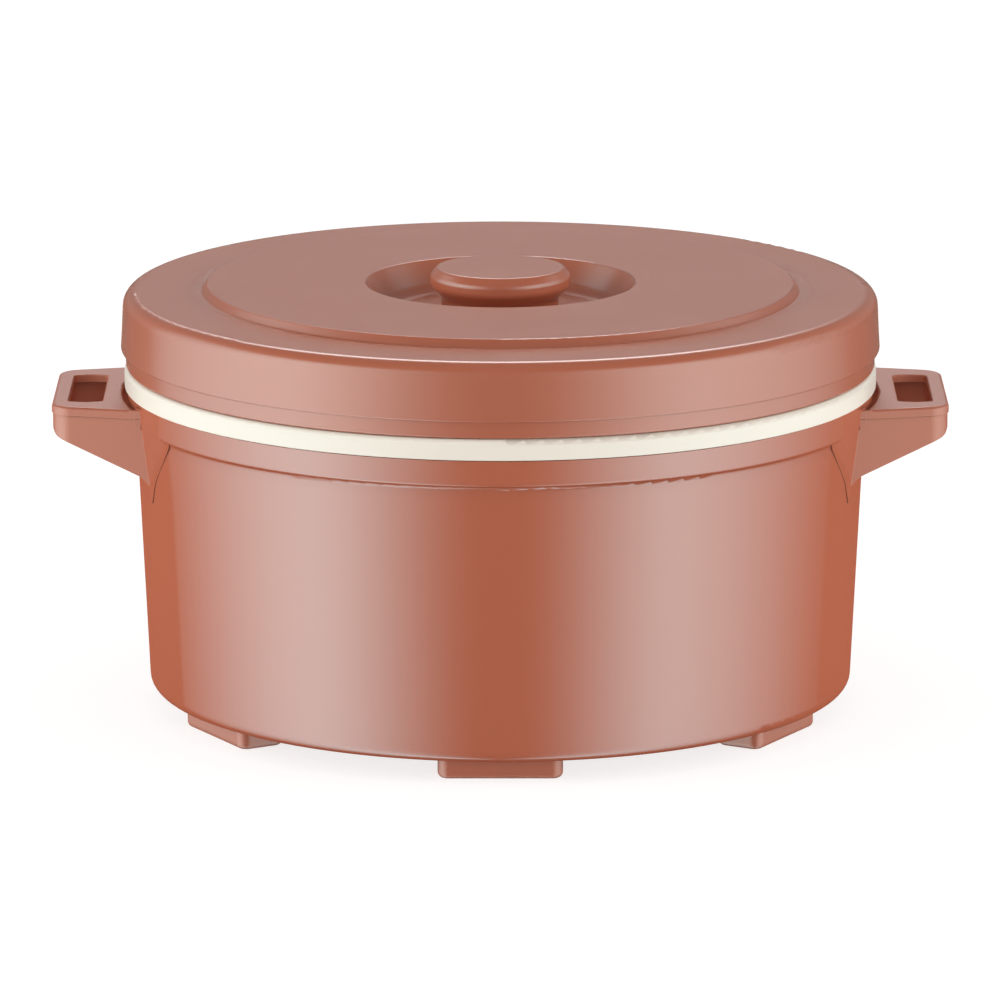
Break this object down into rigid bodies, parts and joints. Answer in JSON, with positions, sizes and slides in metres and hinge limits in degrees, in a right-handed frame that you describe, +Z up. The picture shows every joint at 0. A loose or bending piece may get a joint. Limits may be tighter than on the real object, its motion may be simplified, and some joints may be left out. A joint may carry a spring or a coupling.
{
  "type": "insulated food server",
  "caption": "Round insulated food server with a lift-off lid, a mushroom knob in a dished recess, slotted side handles and small block feet.",
  "frame": {"origin": "on the ground under the centre of the round body, between the feet", "axes": "+X along the two handles to the right handle, +Y away from the front, +Z up"},
  "size_m": [0.4118, 0.3506, 0.2052],
  "materials": {
    "casing_brown": "smooth glossy moulded plastic",
    "lid_brown": "smooth glossy moulded plastic",
    "pot_cream": "smooth satin moulded plastic",
    "foam": "rigid foam",
    "screw_steel": "zinc plated"
  },
  "bodies": {
    "pot": {"outer_casing": "casing_brown", "inner_pot": "pot_cream", "body_insulation": "foam", "base_plug": "casing_brown", "right_handle": "casing_brown", "left_handle": "casing_brown", "right_handle_screws": "screw_steel", "left_handle_screws": "screw_steel", "foot_front": "casing_brown", "foot_front_right": "casing_brown", "foot_back_right": "casing_brown", "foot_back": "casing_brown", "foot_back_left": "casing_brown", "foot_front_left": "casing_brown"},
    "lid": {"lid_cover": "lid_brown", "lid_liner": "lid_brown", "lid_insulation": "foam", "lid_plug": "lid_brown", "lid_knob": "lid_brown", "knob_washer": "screw_steel", "knob_screw": "screw_steel"}
  },
  "joints": [
    {"name": "lid_lift", "type": "slide", "parent": "pot", "child": "lid", "axis": [0, 0, 1], "range_m": [0, 0.25]}
  ]
}
